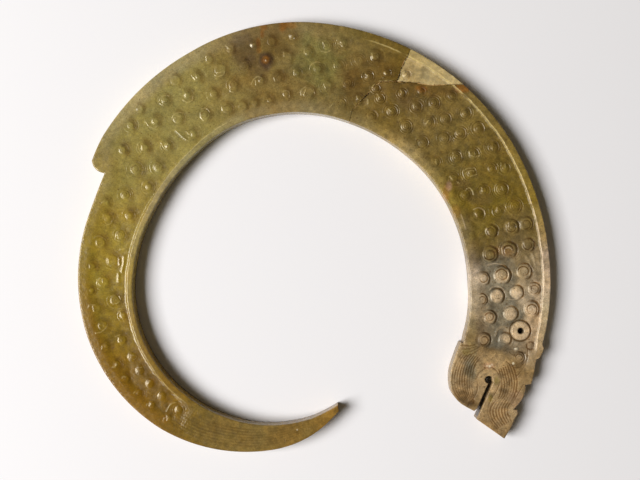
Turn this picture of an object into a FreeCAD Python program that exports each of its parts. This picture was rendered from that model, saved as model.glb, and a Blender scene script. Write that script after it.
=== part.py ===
"""An old jade pendant in the shape of a coiled dragon.

It is a flat open ring with a hook at its shoulder, a pointed tail and a dragon's
head, carved on both faces with rows of round bosses inside a raised rim. It broke
long ago into three fragments, which thin films of adhesive hold together again.

All lengths are in millimetres. +Z comes out of the front face, and +X and +Y run
right and up as the front is seen. The origin is on the axis of the drilled hole
that the pendant hung from, on the back face. Bearings are in degrees about the
middle of the ring, anticlockwise from +X.
"""

import FreeCAD
import Part

import math
import os

from FreeCAD import Vector

# Driving dimensions of the ring
RING_RADIUS = 45.0
BAND_WIDTH = 27.2
THICKNESS = 6.0

# Carved field and its rims
INNER_RIM = 1.6
OUTER_RIM = 2.1
FIELD_DEPTH = 0.55
FIELD_END_BEARING = 234.5
BOSS_RADIUS = 2.1
BOSS_HEIGHT = 0.5
BOSS_SIDES = 9

# Head
HEAD_LENGTH = 30.9
EYE_RADIUS = 1.65
EYE_HEIGHT = 0.5
MOUTH_HOLE_RADIUS = 1.15
SLIT_WIDTH = 1.2
SLIT_LEAN = 24.0

# Drilled hole for the cord, and the flat boss round it
SUSPENSION_HOLE_RADIUS = 0.85
SUSPENSION_BOSS_RADIUS = 3.0
SUSPENSION_BOSS_TOP_RADIUS = 2.3

# Mend
ADHESIVE_THICKNESS = 0.15
ADHESIVE_SINK = 0.15

# How far every cut runs past the stone
OVERRUN = 2.0

# Stations along the band from the head to the shoulder: bearing, inner edge as a
# share of RING_RADIUS, width as a share of BAND_WIDTH
ARM_STATION_SHARES = (
    (-26.6, 1.189, 0.850),
    (-18.5, 1.156, 0.867),
    (-10.0, 1.113, 0.896),
    (0.0, 1.075, 0.906),
    (15.0, 1.027, 0.929),
    (30.0, 0.989, 0.959),
    (45.0, 0.957, 0.987),
    (60.0, 0.942, 1.000),
    (75.0, 0.943, 1.000),
    (90.0, 0.957, 0.996),
    (105.0, 0.973, 0.981),
    (120.0, 0.993, 0.942),
    (135.0, 1.003, 0.932),
    (150.0, 1.027, 0.902),
    (156.1, 1.044, 0.857),
)

# The same from the notch under the shoulder to the tip of the tail
TAIL_STATION_SHARES = (
    (157.7, 1.048, 0.667),
    (160.0, 1.053, 0.658),
    (170.0, 1.093, 0.634),
    (185.0, 1.157, 0.611),
    (200.0, 1.210, 0.570),
    (215.0, 1.233, 0.520),
    (230.0, 1.229, 0.460),
    (245.0, 1.201, 0.370),
    (260.0, 1.149, 0.278),
    (272.0, 1.089, 0.179),
    (278.0, 1.049, 0.112),
    (282.0, 1.022, 0.064),
)

# The two ground tiers of a boss: radius as a share of its foot, height as a share
# of the whole height
BOSS_SHOULDER_SHARES = (0.62, 0.76)

# How far the lip of the shoulder bulges, as a share of its chord
SHOULDER_BULGE_SHARE = 0.19

# Places on the head: across from the inner to the outer end of the neck as a share
# of the neck's width, and down from the neck as a share of HEAD_LENGTH
NECK_LEDGE_SHARES = ((-0.018, 0.075), (-0.055, 0.070))
JAW_SHARES = (
    (-0.055, 0.070),
    (-0.128, 0.214),
    (-0.176, 0.330),
    (-0.189, 0.437),
    (-0.174, 0.534),
    (-0.109, 0.621),
    (-0.006, 0.686),
    (0.113, 0.735),
)
LIP_AND_SNOUT_SHARES = ((0.186, 0.691), (0.130, 0.806), (0.493, 1.003))
FOREHEAD_SHARES = (
    (0.493, 1.003),
    (0.541, 0.942),
    (0.586, 0.883),
    (0.626, 0.811),
    (0.667, 0.760),
    (0.655, 0.724),
    (0.608, 0.722),
    (0.667, 0.670),
    (0.723, 0.612),
    (0.758, 0.544),
    (0.759, 0.480),
    (0.831, 0.472),
    (0.861, 0.388),
    (0.879, 0.311),
    (0.900, 0.231),
    (0.925, 0.222),
    (0.950, 0.209),
    (0.992, 0.126),
    (0.972, 0.081),
)
FIELD_HEAD_END_SHARES = (
    (0.070, 0.107),
    (0.195, 0.165),
    (0.384, 0.194),
    (0.547, 0.223),
    (0.648, 0.325),
    (0.748, 0.342),
    (0.836, 0.262),
    (0.900, 0.146),
)
MOUTH_HOLE_SHARES = (0.297, 0.430)
EYE_SHARES = (0.686, 0.214)

# Sideways place of the slit as a share of MOUTH_HOLE_RADIUS, and its length as a
# share of HEAD_LENGTH
SLIT_OFFSET_SHARE = 0.81
SLIT_LENGTH_SHARE = 0.6

# Places on the band: bearing and share of the width from the inner edge. The
# breaks run past both edges.
SUSPENSION_HOLE_SHARES = (-19.3, 0.686)
WEDGE_CORNER_SHARES = (62.4, 0.609)
HEAD_BREAK_SHARES = (
    (46.4, 1.060),
    (47.3, 1.000),
    (50.7, 0.874),
    (53.7, 0.770),
    (57.5, 0.702),
    WEDGE_CORNER_SHARES,
    (66.7, 0.538),
    (68.3, 0.439),
    (70.2, 0.272),
    (72.4, 0.122),
    (71.8, -0.060),
)
WEDGE_BREAK_SHARES = (
    (63.3, 1.060),
    (62.9, 0.912),
    (63.3, 0.842),
    (62.9, 0.723),
    WEDGE_CORNER_SHARES,
)

# Bosses on the head and neck fragment: bearing, share of the band's width from
# the inner edge, and size as a share of BOSS_RADIUS
NECK_BOSS_SHARES = (
    (-25.3, 0.256, 1.00), (-22.8, 0.514, 1.05), (-18.5, 0.266, 1.05), (-15.9, 0.524, 1.05),
    (-14.0, 0.147, 0.85), (-13.4, 0.778, 1.25), (-12.0, 0.336, 1.20), (-9.9, 0.584, 1.05),
    (-8.3, 0.797, 1.00), (-7.4, 0.165, 1.00), (-5.7, 0.405, 1.25), (-4.2, 0.678, 1.10),
    (0.4, 0.286, 1.15), (1.6, 0.524, 1.25), (2.7, 0.763, 1.00), (7.5, 0.355, 1.00),
    (7.9, 0.610, 1.00), (8.2, 0.787, 1.00), (13.1, 0.515, 0.90), (13.3, 0.708, 1.10),
    (13.6, 0.276, 1.10), (18.7, 0.643, 1.10), (20.0, 0.445, 1.00), (20.8, 0.220, 1.00),
    (23.8, 0.780, 1.00), (25.2, 0.640, 0.80), (26.7, 0.405, 1.10), (27.5, 0.192, 1.00),
    (30.2, 0.780, 1.00), (31.3, 0.547, 1.00), (33.2, 0.367, 1.00), (36.0, 0.153, 0.90),
    (36.5, 0.774, 1.00), (38.5, 0.580, 1.00), (40.3, 0.414, 1.00), (41.8, 0.784, 1.00),
    (44.1, 0.215, 1.00), (44.5, 0.580, 1.00), (47.5, 0.424, 1.00), (47.6, 0.817, 0.90),
    (50.2, 0.627, 1.00), (52.3, 0.240, 1.00), (53.4, 0.485, 1.00), (55.1, 0.650, 0.80),
    (59.3, 0.296, 1.00), (59.4, 0.520, 0.80), (64.8, 0.145, 1.00), (64.8, 0.360, 0.75),
    (67.4, 0.443, 0.75),
)

# The same on the wedge, and on the top of the ring
TOP_BOSS_SHARES = (
    (61.0, 0.727, 0.85), (66.1, 0.646, 0.80), (70.8, 0.540, 0.90), (70.8, 0.765, 1.00),
    (71.4, 0.263, 0.90), (74.9, 0.675, 0.90), (76.6, 0.400, 1.00), (77.3, 0.158, 1.00),
    (80.1, 0.812, 0.90), (80.2, 0.560, 0.90), (83.0, 0.315, 1.00), (84.4, 0.765, 1.10),
    (86.5, 0.490, 1.10), (89.3, 0.225, 1.10), (89.3, 0.665, 0.90), (92.7, 0.433, 1.00),
    (93.5, 0.835, 0.80), (95.6, 0.613, 1.00), (97.1, 0.206, 1.00), (98.6, 0.400, 1.00),
    (99.2, 0.803, 0.80), (101.3, 0.609, 1.10), (103.2, 0.163, 0.85), (104.0, 0.800, 0.90),
    (104.3, 0.400, 0.90), (108.0, 0.604, 1.00), (108.6, 0.163, 0.85), (110.0, 0.836, 0.80),
    (113.0, 0.170, 0.85), (113.0, 0.443, 1.00), (114.7, 0.656, 1.10), (116.3, 0.822, 0.80),
)

# The same on the shoulder and the arm below it, down to the tail
SHOULDER_BOSS_SHARES = (
    (118.3, 0.210, 1.10), (119.7, 0.443, 1.10), (121.4, 0.703, 1.00), (125.8, 0.280, 1.10),
    (126.6, 0.590, 1.10), (126.7, 0.810, 0.90), (132.1, 0.700, 1.00), (132.7, 0.187, 1.00),
    (133.0, 0.452, 1.00), (138.3, 0.604, 1.20), (138.7, 0.840, 0.80), (141.5, 0.300, 1.10),
    (143.4, 0.800, 1.00), (146.2, 0.504, 1.10), (149.1, 0.234, 1.10), (150.1, 0.708, 1.10),
    (153.1, 0.452, 1.25), (156.4, 0.206, 1.00), (161.5, 0.545, 1.00), (165.1, 0.775, 0.80),
    (167.3, 0.330, 1.10), (169.3, 0.675, 1.10), (173.6, 0.370, 1.00), (176.4, 0.680, 1.00),
    (181.5, 0.415, 1.10), (182.9, 0.750, 0.90), (187.4, 0.550, 1.00), (189.2, 0.770, 0.70),
    (193.2, 0.345, 1.00), (193.9, 0.720, 0.90), (198.2, 0.230, 0.85), (199.0, 0.660, 0.90),
    (204.3, 0.730, 0.85), (204.7, 0.400, 1.00), (209.8, 0.720, 0.85), (210.1, 0.370, 1.00),
    (214.4, 0.710, 0.85), (214.6, 0.370, 1.00), (219.3, 0.380, 1.00), (219.3, 0.700, 0.85),
    (224.0, 0.690, 0.85), (224.2, 0.380, 1.00), (229.7, 0.680, 0.80), (230.5, 0.385, 0.90),
)


def from_ring_middle(bearing, radius):
    """A point at a bearing and radius, measured from the middle of the ring."""
    angle = math.radians(bearing)
    return Vector(radius * math.cos(angle), radius * math.sin(angle), 0)


def band_at(bearing):
    """Inner radius and width of the band at a bearing, between the stations beside it."""
    stations = ARM_STATION_SHARES + TAIL_STATION_SHARES
    for before, after in zip(stations, stations[1:]):
        if before[0] <= bearing <= after[0]:
            break
    part = (bearing - before[0]) / (after[0] - before[0])
    inner_share = before[1] + part * (after[1] - before[1])
    width_share = before[2] + part * (after[2] - before[2])
    return inner_share * RING_RADIUS, width_share * BAND_WIDTH


def band_offset(bearing, share):
    """A place on the band, measured from the middle of the ring."""
    inner, width = band_at(bearing)
    return from_ring_middle(bearing, inner + share * width)


RING_MIDDLE = band_offset(*SUSPENSION_HOLE_SHARES) * -1


def on_band(bearing, share):
    """A place on the band in the pendant's own frame."""
    return RING_MIDDLE + band_offset(bearing, share)


def inner_point(station, rim=0):
    """The inner edge at a station, or a line the rim's width outside it."""
    bearing, inner_share, width_share = station
    return RING_MIDDLE + from_ring_middle(bearing, inner_share * RING_RADIUS + rim)


def outer_point(station, rim=0):
    """The outer edge at a station, or a line the rim's width inside it."""
    bearing, inner_share, width_share = station
    radius = inner_share * RING_RADIUS + width_share * BAND_WIDTH - rim
    return RING_MIDDLE + from_ring_middle(bearing, radius)


NECK_INNER = inner_point(ARM_STATION_SHARES[0])
NECK_OUTER = outer_point(ARM_STATION_SHARES[1])
NECK_ACROSS = NECK_OUTER - NECK_INNER
NECK_WIDTH = NECK_ACROSS.Length


def on_head(across, down):
    """A place on the head: shares of the neck's width and of the head's length."""
    step = NECK_ACROSS / NECK_WIDTH
    fall = Vector(step.y, -step.x, 0)
    return NECK_INNER + NECK_ACROSS * across + fall * (HEAD_LENGTH * down)


def straight_edges(points):
    """Straight edges from each point to the next."""
    return [Part.LineSegment(start, end).toShape() for start, end in zip(points, points[1:])]


def round_edges(points):
    """Arcs through every other point by way of the one between, and a straight end."""
    arcs = []
    for start, middle, end in zip(points[::2], points[1::2], points[2::2]):
        arcs.append(Part.Arc(start, middle, end).toShape())
    odd_end = points[-2:] if len(points) % 2 == 0 else []
    return arcs + straight_edges(odd_end)


def prism(edges, low, high):
    """The solid between two heights whose outline is the closed chain of edges."""
    wire = Part.Wire(Part.__sortEdges__(edges))
    face = Part.Face(wire)
    face.translate(Vector(0, 0, low))
    return face.extrude(Vector(0, 0, high - low))


def shoulder_lip():
    """The rounded lip that juts out above the notch in the outer edge."""
    start = outer_point(ARM_STATION_SHARES[-1])
    end = outer_point(TAIL_STATION_SHARES[0])
    chord = end - start
    side = Vector(chord.y, -chord.x, 0)
    middle = start + chord / 2 + side * SHOULDER_BULGE_SHARE
    return Part.Arc(start, middle, end).toShape()


def head_edges():
    """Outline of the head, from the inner to the outer end of the neck."""
    ledge = straight_edges([NECK_INNER] + [on_head(*place) for place in NECK_LEDGE_SHARES])
    jaw = round_edges([on_head(*place) for place in JAW_SHARES])
    lips = [on_head(*JAW_SHARES[-1])] + [on_head(*place) for place in LIP_AND_SNOUT_SHARES]
    forehead = [on_head(*place) for place in FOREHEAD_SHARES] + [NECK_OUTER]
    return ledge + jaw + straight_edges(lips) + straight_edges(forehead)


def outline_edges():
    """Outline of the whole pendant."""
    outer_arm = round_edges([outer_point(station) for station in ARM_STATION_SHARES[1:]])
    outer_tail = round_edges([outer_point(station) for station in TAIL_STATION_SHARES])
    tip = TAIL_STATION_SHARES[-1]
    tail_end = straight_edges([outer_point(tip), inner_point(tip)])
    stations = ARM_STATION_SHARES + TAIL_STATION_SHARES
    inner = round_edges([inner_point(station) for station in stations])
    return head_edges() + outer_arm + [shoulder_lip()] + outer_tail + tail_end + inner


def field_edges():
    """Outline of the sunk field that the bosses stand in."""
    inner, width = band_at(FIELD_END_BEARING)
    end_station = (FIELD_END_BEARING, inner / RING_RADIUS, width / BAND_WIDTH)
    tail = [row for row in TAIL_STATION_SHARES if row[0] < FIELD_END_BEARING] + [end_station]
    arm = list(ARM_STATION_SHARES)
    inner_line = [inner_point(station, INNER_RIM) for station in arm + tail]
    outer_arm = [outer_point(station, OUTER_RIM) for station in arm[1:-1]]
    outer_tail = [outer_point(station, OUTER_RIM) for station in tail[1:]]
    head_end = [on_head(*place) for place in FIELD_HEAD_END_SHARES]
    curves = round_edges(inner_line) + round_edges(outer_arm) + round_edges(outer_tail)
    ends = straight_edges([inner_line[-1], outer_tail[-1]])
    step = straight_edges([outer_arm[-1], outer_tail[0]])
    head_side = straight_edges([inner_line[0], head_end[0]])
    crest_side = straight_edges([head_end[-1], outer_arm[0]])
    return curves + round_edges(head_end) + ends + step + head_side + crest_side


def ring_of_corners(radius, height):
    """The corners of one tier of a boss about the vertical axis."""
    turn = 2 * math.pi / BOSS_SIDES
    corners = []
    for index in range(BOSS_SIDES):
        angle = index * turn
        corners.append(Vector(radius * math.cos(angle), radius * math.sin(angle), height))
    return corners


def flat_face(corners):
    """The flat face with these corners."""
    return Part.Face(Part.makePolygon(corners + corners[:1]))


def ground_boss(centre, radius, height):
    """A round boss ground in two tiers of small facets, on a root in the stone."""
    shoulder_radius, shoulder_height = BOSS_SHOULDER_SHARES
    root = ring_of_corners(radius, -FIELD_DEPTH)
    foot = ring_of_corners(radius, 0)
    shoulder = ring_of_corners(radius * shoulder_radius, height * shoulder_height)
    crown = Vector(0, 0, height)
    faces = [flat_face(root)]
    for index in range(BOSS_SIDES):
        after = (index + 1) % BOSS_SIDES
        faces.append(flat_face([root[index], root[after], foot[after], foot[index]]))
        faces.append(flat_face([foot[index], foot[after], shoulder[after], shoulder[index]]))
        faces.append(flat_face([shoulder[index], shoulder[after], crown]))
    solid = Part.Solid(Part.Shell(faces))
    solid.translate(centre)
    return solid


def suspension_boss(base):
    """The flat-topped boss round the drilled hole, level with the rims."""
    return Part.makeCone(SUSPENSION_BOSS_RADIUS, SUSPENSION_BOSS_TOP_RADIUS, FIELD_DEPTH, base)


def front_bosses():
    """Every raised boss of the front face, standing on the floor of the field."""
    floor = Vector(0, 0, THICKNESS - FIELD_DEPTH)
    rows = NECK_BOSS_SHARES + TOP_BOSS_SHARES + SHOULDER_BOSS_SHARES
    bosses = []
    for bearing, share, size in rows:
        bosses.append(ground_boss(on_band(bearing, share) + floor, BOSS_RADIUS * size, BOSS_HEIGHT))
    bosses.append(ground_boss(on_head(*EYE_SHARES) + floor, EYE_RADIUS, EYE_HEIGHT))
    bosses.append(suspension_boss(floor))
    return bosses


def on_back(solid):
    """The same solid on the back face, seen through the stone."""
    return solid.mirror(Vector(0, 0, THICKNESS / 2), Vector(0, 0, 1))


def drilled(centre, radius):
    """A hole straight through the stone."""
    foot = centre + Vector(0, 0, -OVERRUN)
    return Part.makeCylinder(radius, THICKNESS + 2 * OVERRUN, foot)


def mouth_slit():
    """The sawn slit that runs from the mouth hole out between the jaws."""
    step = NECK_ACROSS / NECK_WIDTH
    lean = math.radians(SLIT_LEAN)
    fall = Vector(step.y, -step.x, 0)
    along = fall * math.cos(lean) - step * math.sin(lean)
    aside = Vector(-along.y, along.x, 0)
    start = on_head(*MOUTH_HOLE_SHARES) + aside * (MOUTH_HOLE_RADIUS * SLIT_OFFSET_SHARE)
    end = start + along * (HEAD_LENGTH * SLIT_LENGTH_SHARE)
    half = aside * (SLIT_WIDTH / 2)
    corners = [start - half, end - half, end + half, start + half, start - half]
    return prism(straight_edges(corners), -OVERRUN, THICKNESS + OVERRUN)


def whole_stone():
    """The pendant as it was before it broke."""
    slab = prism(outline_edges(), 0, THICKNESS)
    field = prism(field_edges(), THICKNESS - FIELD_DEPTH, THICKNESS + OVERRUN)
    bosses = front_bosses()
    stone = slab.cut([field, on_back(field)])
    stone = stone.fuse(bosses + [on_back(boss) for boss in bosses])
    suspension_hole = drilled(Vector(0, 0, 0), SUSPENSION_HOLE_RADIUS)
    mouth_hole = drilled(on_head(*MOUTH_HOLE_SHARES), MOUTH_HOLE_RADIUS)
    return stone.cut([suspension_hole, mouth_hole, mouth_slit()])


def ribbon(line, low, high):
    """A solid as thick as the adhesive that follows a line of points."""
    lefts = []
    rights = []
    for index, point in enumerate(line):
        before = line[max(index - 1, 0)]
        after = line[min(index + 1, len(line) - 1)]
        along = (after - before).normalize()
        aside = Vector(-along.y, along.x, 0) * (ADHESIVE_THICKNESS / 2)
        lefts.append(point + aside)
        rights.append(point - aside)
    corners = lefts + rights[::-1] + lefts[:1]
    return prism(straight_edges(corners), low, high)


def solids_by_size(shape):
    """The solids of a shape, the largest first."""
    return sorted(shape.Solids, key=lambda solid: solid.Volume, reverse=True)


def pieces():
    """Every separate piece of the mended pendant, by name."""
    stone = whole_stone()
    head_line = [on_band(*place) for place in HEAD_BREAK_SHARES]
    wedge_line = [on_band(*place) for place in WEDGE_BREAK_SHARES]
    through = (-OVERRUN, THICKNESS + OVERRUN)
    fragments = stone.cut([ribbon(head_line, *through), ribbon(wedge_line, *through)])
    body, head, wedge = solids_by_size(fragments)[:3]

    sink = FIELD_DEPTH + ADHESIVE_SINK
    inside = (sink, THICKNESS - sink)
    slab = prism(outline_edges(), 0, THICKNESS)
    head_film = ribbon(head_line, *inside)
    wedge_film = ribbon(wedge_line, *inside).cut(head_film)
    return {
        "body_and_tail": body,
        "head_and_neck": head,
        "outer_edge_wedge": wedge,
        "adhesive_along_head_break": head_film.common(slab).Solids[0],
        "adhesive_beside_wedge": wedge_film.common(slab).Solids[0],
    }


os.makedirs("parts", exist_ok=True)
for name, solid in pieces().items():
    solid.exportStep("parts/" + name + ".step")
    box = solid.BoundBox
    print(name, "volume", round(solid.Volume, 1), "valid", solid.isValid(), "size",
          round(box.XLength, 2), round(box.YLength, 2), round(box.ZLength, 2))
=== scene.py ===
"""The jade dragon pendant as it looks: carved, engraved, stained, broken and mended.

Each stone fragment takes its outline, its holes and the places of its bosses from the
CAD node that it stands for. Its two faces are height fields with the rims, the sunk
field, the curled bosses and the engraved lines, joined by a wall. Lengths are in
millimetres until a mesh is made.
"""

import math

import bpy
import numpy as np
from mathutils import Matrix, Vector
from mathutils.bvhtree import BVHTree
from mathutils.geometry import delaunay_2d_cdt


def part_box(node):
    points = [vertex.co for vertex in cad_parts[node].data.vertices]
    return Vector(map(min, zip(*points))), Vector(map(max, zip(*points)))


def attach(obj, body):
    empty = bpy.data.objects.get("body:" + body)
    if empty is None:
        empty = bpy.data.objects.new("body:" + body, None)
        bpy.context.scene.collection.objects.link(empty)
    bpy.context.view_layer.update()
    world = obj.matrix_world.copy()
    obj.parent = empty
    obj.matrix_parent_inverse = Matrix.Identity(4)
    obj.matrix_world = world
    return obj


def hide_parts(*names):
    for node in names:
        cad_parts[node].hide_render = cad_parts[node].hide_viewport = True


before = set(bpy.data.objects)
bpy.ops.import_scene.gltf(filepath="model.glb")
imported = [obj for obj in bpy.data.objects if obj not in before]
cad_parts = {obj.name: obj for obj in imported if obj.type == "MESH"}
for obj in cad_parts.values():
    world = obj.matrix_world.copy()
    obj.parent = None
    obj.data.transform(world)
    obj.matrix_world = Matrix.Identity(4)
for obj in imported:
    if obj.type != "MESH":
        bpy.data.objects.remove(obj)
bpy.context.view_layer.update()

MM = 0.001
FRAGMENTS = ("body_and_tail", "head_and_neck", "outer_edge_wedge")
FILMS = ("adhesive_along_head_break", "adhesive_beside_wedge")
SLOTS = dict(zip(FRAGMENTS, ("olive_jade", "brown_jade", "pale_jade")))

# Sizes of the carving
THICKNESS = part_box("body_and_tail")[1].z / MM
FIELD_DEPTH = 0.55
BOSS_HEIGHT = 0.5
BOSS_SHOULDER_SHARE = 0.62
SUSPENSION_BOSS_RADIUS = 3.0
SUSPENSION_BOSS_HEIGHT = 0.53
CRISP_STEP = 0.42
SOFT_STEP = 3.4
FADED_STEP = 3.2
ARRIS_RADIUS = 0.15
EDGE_FALL = 0.05
EDGE_FALL_WIDTH = 1.1
LINE_DEPTH = 0.13
LINE_HALF_WIDTH = 0.19
RING_DEPTH = 0.14
EAR_RING_RADIUS = 1.15
EAR_RING_HALF_WIDTH = 0.3
EYE_CORNER_HEIGHT = 0.4
EYE_CORNER_RADIUS = 0.75
RIDGE_HEIGHT = 0.13
RIDGE_HALF_WIDTH = 0.5
STROKE_HEIGHT = 0.09
STROKE_HALF_WIDTH = 0.27
STROKE_REACH = 0.4

# Spacing of a mesh's points: front and back
OUTLINE_SPACING = 0.3
CURVE_SPACING = 0.3
STROKE_SPACING = 0.2
FAN_ROW_SPACING = 0.22
LATTICE_SPACING = {1: 0.34, -1: 0.50}
RING_SPACING = {1: 0.17, -1: 0.30}
THIN_CELL = {1: 0.13, -1: 0.22}
EDGE_ROWS = (0.05, 0.12, 0.26)
STEP_ROWS = (-0.46, -0.36, -0.26, -0.17, -0.08, 0.0, 0.1, 0.24, 0.42)
LINE_ROWS = (0.0, -LINE_HALF_WIDTH, LINE_HALF_WIDTH)
STROKE_ROWS = (0.0, -0.16, 0.16, -0.3, 0.3)
WALL_ROWS = 5
BOSS_REACH_SHARE = 1.4
BORDER_GAP = 0.045

# Reading the CAD: points that are one, sine of a bend that is none, cosine of a gentle one,
# how near touching outlines are, and how close a crown's height is to its nominal one
SAME_POINT = 0.002
STRAIGHT_SINE = 0.004
GENTLE_COSINE = math.cos(math.radians(27))
TOUCHING = 0.3
LEVEL_MARGIN = 0.01

# Distance of the middle of the band from the middle of the ring, by bearing, and of the
# swirling marks of the grinding tool from each other
BAND_MIDDLES = ((0, 59.0), (90, 56.5), (180, 60.3), (215, 63.0), (235, 64.5))
SWIRL_SPACING = 0.62

# Where the photograph shows things: its pixels and the place of the hole's axis in it
PIXEL = 0.3
HOLE_PIXEL = (520.8, 330.9)
RING_MIDDLE_PIXEL = (305.9, 255.6)
CAMERA_PIXEL = (320.0, 240.0)
CAMERA_HEIGHT = 285.0
IMAGE_WIDTH = 640 * PIXEL


def spot(px, py):
    """The place on the pendant, in x and y, that a pixel of the photograph shows."""
    return np.array([(px - HOLE_PIXEL[0]) * PIXEL, (HOLE_PIXEL[1] - py) * PIXEL])


RING_MIDDLE = spot(*RING_MIDDLE_PIXEL)


def smoothstep(low, high, value):
    """0 below low, 1 above high, and smooth between."""
    part = np.clip((value - low) / (high - low), 0, 1)
    return part * part * (3 - 2 * part)


def ridge(value, half_width):
    """1 at zero, falling smoothly to 0 half a width away on both sides."""
    return np.clip(1 - (value / half_width) ** 2, 0, 1) ** 2


# Numbers that scramble a cell's place, and how fast finer clouds fade
SCRAMBLE = (374761393, 668265263, 974711, 1103515245)
CLOUD_TURN = np.array([[0.8, -0.6], [0.6, 0.8]])
CLOUD_FADE = 1.7
CLOUD_SPREAD = 1.5


def grain(points, size, seed):
    """Smooth random values from -1 to 1 over the plane, with features of a given size."""
    cells = points / size
    base = np.floor(cells).astype(np.int64)
    ease = cells - base
    ease = ease * ease * (3 - 2 * ease)

    def corner(right, up):
        across, along, by_seed, again = SCRAMBLE
        key = (base[:, 0] + right) * across + (base[:, 1] + up) * along + seed * by_seed
        key = (key ^ (key >> 13)) * again
        key = key ^ (key >> 16)
        return (key & 65535) / 32767.5 - 1

    low = corner(0, 0) * (1 - ease[:, 0]) + corner(1, 0) * ease[:, 0]
    high = corner(0, 1) * (1 - ease[:, 0]) + corner(1, 1) * ease[:, 0]
    return low * (1 - ease[:, 1]) + high * ease[:, 1]


def clouds(points, size, seed, octaves=4):
    """Random values with large and small features together, about -1 to 1."""
    total = np.zeros(len(points))
    for octave in range(octaves):
        turned = points @ CLOUD_TURN if octave % 2 else points
        total += grain(turned, size / 2 ** octave, seed + octave) / CLOUD_FADE ** octave
    return total / CLOUD_SPREAD


def layered(points, layers, seed):
    """Unevenness in millimetres from layers: height, size and what is added to the seed."""
    return sum(height * grain(points, size, seed + more) for height, size, more in layers)


def chance_at(place, seed):
    """One random value from -1 to 1 for one place."""
    return grain(place[None, :], 1.0, seed)[0]


def round_ring(rule, bearing):
    """A value that changes round the ring: its start, then ramps (from, to, change)."""
    value, *ramps = rule
    for first, last, change in ramps:
        value = value + change * smoothstep(first, last, bearing)
    return value


def polar(points):
    """Bearing in degrees from -60 to 300, and distance, about the middle of the ring."""
    away = points - RING_MIDDLE
    bearing = np.degrees(np.arctan2(away[:, 1], away[:, 0]))
    return np.where(bearing < -60, bearing + 360, bearing), np.hypot(away[:, 0], away[:, 1])


def outward_of_middle(bearing, reach):
    """How far outside the middle of the band a place lies, below zero inside it."""
    return reach - np.interp(bearing, *zip(*BAND_MIDDLES))


def distance_to(points, line):
    """Distance of each point from an open line."""
    return np.sqrt(np.min([squared_distance(points, *ends) for ends in zip(line[:-1], line[1:])],
                          axis=0))


def squared_distance(points, start, end):
    """Squared distance of each point from a straight stretch."""
    along = end - start
    part = np.clip(((points - start) @ along) / max(along @ along, 1e-12), 0, 1)
    gap = points - start - part[:, None] * along
    return gap[:, 0] ** 2 + gap[:, 1] ** 2


class Plot:
    """Points sorted into square cells, so that those near a place are found quickly."""

    cell = 1.5

    def __init__(self, points):
        self.points = points
        columns, rows = np.floor(points / self.cell).astype(int).T
        order = np.lexsort((rows, columns))
        changes = np.flatnonzero(np.diff(columns[order]) | np.diff(rows[order])) + 1
        self.cells = {(columns[group[0]], rows[group[0]]): group
                      for group in np.split(order, changes)}

    def near(self, low, high):
        """Indices of the points in the cells that a box touches."""
        first, last = (np.floor(np.array(corner) / self.cell).astype(int) for corner in (low, high))
        found = [self.cells[column, row] for column in range(first[0], last[0] + 1)
                 for row in range(first[1], last[1] + 1) if (column, row) in self.cells]
        return np.concatenate(found) if found else np.empty(0, int)

    def distances(self, line, reach, left_out=None):
        """Distance of each point from a line, or infinity beyond the reach."""
        squares = np.full(len(self.points), np.inf)
        for index, (start, end) in enumerate(zip(line[:-1], line[1:])):
            if left_out is None or not left_out[index]:
                near = self.near(np.minimum(start, end) - reach, np.maximum(start, end) + reach)
                found = squared_distance(self.points[near], start, end)
                squares[near] = np.minimum(squares[near], found)
        return np.sqrt(squares)


def closed(loop):
    """A loop with its first point again at its end."""
    return np.vstack([loop, loop[:1]])


def inside(points, loop):
    """Which points lie inside a closed loop."""
    within = np.zeros(len(points), bool)
    for (ax, ay), (bx, by) in zip(loop, np.roll(loop, -1, axis=0)):
        if ay != by:
            crosses = (points[:, 1] < ay) != (points[:, 1] < by)
            within ^= crosses & (points[:, 0] < ax + (points[:, 1] - ay) * (bx - ax) / (by - ay))
    return within


def area(loop):
    """Signed area of a loop, above zero when it runs anticlockwise."""
    after = np.roll(loop, -1, axis=0)
    return (loop[:, 0] * after[:, 1] - after[:, 0] * loop[:, 1]).sum() / 2


# Reading the outlines and bosses from the CAD nodes


def cad_surface(node):
    """Corners in millimetres and triangles of a CAD node, each corner once."""
    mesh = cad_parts[node].data
    mesh.calc_loop_triangles()
    corners = np.array([corner.co for corner in mesh.vertices]) / MM
    triangles = np.array([triangle.vertices for triangle in mesh.loop_triangles])
    places, same = np.unique(np.round(corners, 4), axis=0, return_inverse=True)
    return places, same.reshape(-1)[triangles]


def section(surface, height):
    """The closed loops where a surface passes a height."""
    places, triangles = surface
    above = places[triangles][:, :, 2] > height
    spots = {}
    ways = {}
    for triangle in triangles[above.any(axis=1) & ~above.all(axis=1)]:
        ends = []
        for pair in ((0, 1), (1, 2), (2, 0)):
            low, high = sorted((int(triangle[i]) for i in pair), key=lambda i: places[i][2])
            if places[low][2] <= height < places[high][2]:
                part = (height - places[low][2]) / (places[high][2] - places[low][2])
                spots[low, high] = (places[low] + part * (places[high] - places[low]))[:2]
                ends.append((low, high))
        ways.setdefault(ends[0], []).append(ends[1])
        ways.setdefault(ends[1], []).append(ends[0])
    loops = []
    while ways:
        here = next(iter(ways))
        loop = []
        while here is not None:
            loop.append(spots[here])
            here = next((way for way in ways.pop(here) if way in ways), None)
        loops.append(corners_of(np.array(loop)))
    return loops


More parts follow.
